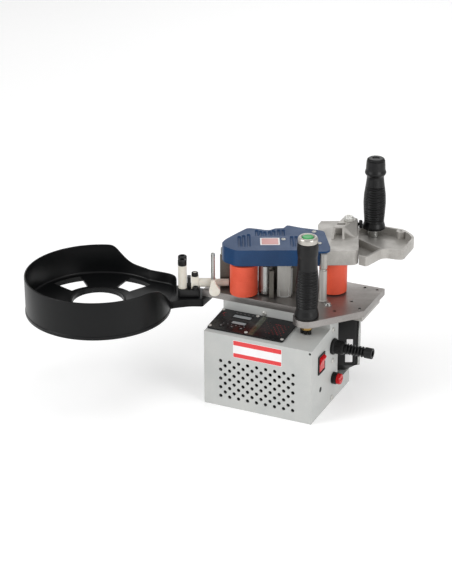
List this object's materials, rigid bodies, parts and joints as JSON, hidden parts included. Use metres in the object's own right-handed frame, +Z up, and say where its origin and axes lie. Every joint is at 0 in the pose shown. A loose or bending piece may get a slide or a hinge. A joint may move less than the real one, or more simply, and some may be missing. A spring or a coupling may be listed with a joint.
{
  "type": "edge banding machine",
  "caption": "Portable contour edge banding machine: control box, rubber feed rollers under a gear cover, two grips, pressure shoe and a tape tray on an arm.",
  "frame": {"origin": "middle of the control box's underside, which stands on the bench", "axes": "+X along the box's vented front towards the switch side, +Y to the back, +Z up"},
  "size_m": [0.5419, 0.402, 0.3473],
  "materials": {
    "grey_powder_coat": "satin",
    "cast_aluminium": "matte",
    "black_plastic": "satin",
    "black_rubber": "matte",
    "turned_steel": "satin",
    "chrome": "polished",
    "brass": "satin",
    "red_silicone": "matte",
    "blue_enamel": "satin",
    "nylon": "satin",
    "display_window": "polished",
    "red_plastic": "gloss",
    "green_plastic": "gloss",
    "board_laminate": "satin",
    "dark_iron": "matte",
    "motor_black": "satin"
  },
  "bodies": {
    "root": {"case_shell": "grey_powder_coat", "case_bottom": "grey_powder_coat", "rocker_bezel": "black_plastic", "cable_gland": "black_plastic", "cable_boot": "black_rubber", "fuse_holder": "black_plastic", "transformer": "dark_iron", "control_board": "board_laminate", "control_panel": "black_plastic", "temp_display": "display_window", "speed_display": "display_window", "base_plate": "cast_aluminium", "gearbox_housing": "cast_aluminium", "motor_body": "motor_black", "front_handle_grip": "black_rubber", "front_handle_cap": "turned_steel", "handle_tube": "turned_steel", "handle_nut": "brass", "button_terminals": "black_plastic", "top_casting": "cast_aluminium", "top_cover": "blue_enamel", "front_pillar": "turned_steel", "left_support": "cast_aluminium", "support_bolt": "dark_iron", "glue_pot": "cast_aluminium", "heater_cartridge": "turned_steel", "cutter_block": "turned_steel", "guide_bar": "turned_steel", "band_wire": "chrome", "rest_bar_bracket": "nylon", "band_pin": "chrome", "pin_clamp": "nylon", "guide_base": "black_plastic", "guide_bolt_front": "black_plastic", "guide_bolt_rear": "black_plastic", "tape_tray": "black_plastic"},
    "rocker": {"rocker_switch": "red_plastic"},
    "fuse_cap_body": {"fuse_cap": "red_plastic"},
    "down_key": {"key_down": "black_rubber"},
    "up_key": {"key_up": "black_rubber"},
    "set_key": {"key_set": "black_rubber"},
    "start_button_body": {"start_button": "green_plastic"},
    "drive_roller": {"right_roller": "red_silicone", "right_gear_shaft": "turned_steel"},
    "driven_roller": {"left_roller": "red_silicone", "left_gear_shaft": "turned_steel"},
    "glue_roller_body": {"glue_roller": "turned_steel"},
    "idler_1": {"idler_gear_1": "turned_steel"},
    "idler_2": {"idler_gear_2": "turned_steel"},
    "cutter": {"cutter_blade": "turned_steel"},
    "shoe": {"shoe_plate": "cast_aluminium", "rear_handle_bolt": "turned_steel", "rear_handle_grip": "black_rubber", "rear_handle_cap": "black_plastic"},
    "height_screw_body": {"height_screw": "chrome"},
    "lock_knob_body": {"lock_knob": "black_plastic"},
    "front_guide_roller": {"guide_roller_front": "nylon"},
    "rear_guide_roller": {"guide_roller_rear": "nylon"},
    "rest_bar_body": {"rest_bar": "nylon"}
  },
  "joints": [
    {"name": "rocker_tip", "type": "hinge", "parent": "root", "child": "rocker", "pos_m": [0.087, -0.043, 0.0885], "axis": [0, 1, 0], "range_deg": [-20, 0]},
    {"name": "fuse_cap_turn", "type": "hinge", "parent": "root", "child": "fuse_cap_body", "pos_m": [0.093, 0.008, 0.04], "axis": [1, 0, 0], "range_deg": [0, 90]},
    {"name": "down_key_press", "type": "slide", "parent": "root", "child": "down_key", "axis": [0, -0.083, 0.9965], "range_m": [-0.001, 0], "stiffness_N_per_m": 200},
    {"name": "up_key_press", "type": "slide", "parent": "root", "child": "up_key", "axis": [0, -0.083, 0.9965], "range_m": [-0.001, 0], "stiffness_N_per_m": 200},
    {"name": "set_key_press", "type": "slide", "parent": "root", "child": "set_key", "axis": [0, -0.083, 0.9965], "range_m": [-0.001, 0], "stiffness_N_per_m": 200},
    {"name": "start_button_press", "type": "slide", "parent": "root", "child": "start_button_body", "axis": [0, 0, 1], "range_m": [-0.002, 0], "stiffness_N_per_m": 250},
    {"name": "drive_roller_spin", "type": "hinge", "parent": "root", "child": "drive_roller", "pos_m": [0.06175, 0.07249, 0.184], "axis": [0, 0, 1], "continuous": true},
    {"name": "idler_2_spin", "type": "hinge", "parent": "root", "child": "idler_2", "pos_m": [0.03107, 0.05581, 0.227], "axis": [0, 0, 1], "continuous": true},
    {"name": "idler_1_spin", "type": "hinge", "parent": "root", "child": "idler_1", "pos_m": [0.0004, 0.03914, 0.227], "axis": [0, 0, 1], "continuous": true},
    {"name": "glue_roller_spin", "type": "hinge", "parent": "root", "child": "glue_roller_body", "pos_m": [-0.03028, 0.02246, 0.184], "axis": [0, 0, 1], "continuous": true},
    {"name": "driven_roller_spin", "type": "hinge", "parent": "root", "child": "driven_roller", "pos_m": [-0.06095, 0.00578, 0.184], "axis": [0, 0, 1], "continuous": true},
    {"name": "cutter_stroke", "type": "slide", "parent": "root", "child": "cutter", "axis": [-0.4226, 0.9063, 0], "range_m": [-0.008, 0]},
    {"name": "shoe_height", "type": "slide", "parent": "root", "child": "shoe", "axis": [0, 0, 1], "range_m": [-0.004, 0.004]},
    {"name": "height_screw_turn", "type": "hinge", "parent": "root", "child": "height_screw_body", "pos_m": [0.06018, 0.1395, 0.25], "axis": [0, 0, 1], "range_deg": [-720, 720]},
    {"name": "lock_knob_turn", "type": "hinge", "parent": "root", "child": "lock_knob_body", "pos_m": [0.0732, 0.15109, 0.242], "axis": [0.9063, 0.4226, 0], "range_deg": [0, 180]},
    {"name": "front_guide_spin", "type": "hinge", "parent": "root", "child": "front_guide_roller", "pos_m": [-0.15651, -0.01693, 0.178], "axis": [0, 0, 1], "continuous": true},
    {"name": "rear_guide_spin", "type": "hinge", "parent": "root", "child": "rear_guide_roller", "pos_m": [-0.16285, -0.00333, 0.178], "axis": [0, 0, 1], "continuous": true},
    {"name": "rest_bar_spin", "type": "hinge", "parent": "root", "child": "rest_bar_body", "pos_m": [-0.1124, 0.00441, 0.1668], "axis": [0.9063, 0.4226, 0], "continuous": true}
  ],
  "couplings": [
    {"joint": "idler_2_spin", "follows": "drive_roller_spin", "ratio": -1},
    {"joint": "idler_1_spin", "follows": "drive_roller_spin", "ratio": 1},
    {"joint": "glue_roller_spin", "follows": "drive_roller_spin", "ratio": -1},
    {"joint": "driven_roller_spin", "follows": "drive_roller_spin", "ratio": 1},
    {"joint": "height_screw_turn", "follows": "shoe_height", "rad_per_m": -3141.6}
  ]
}
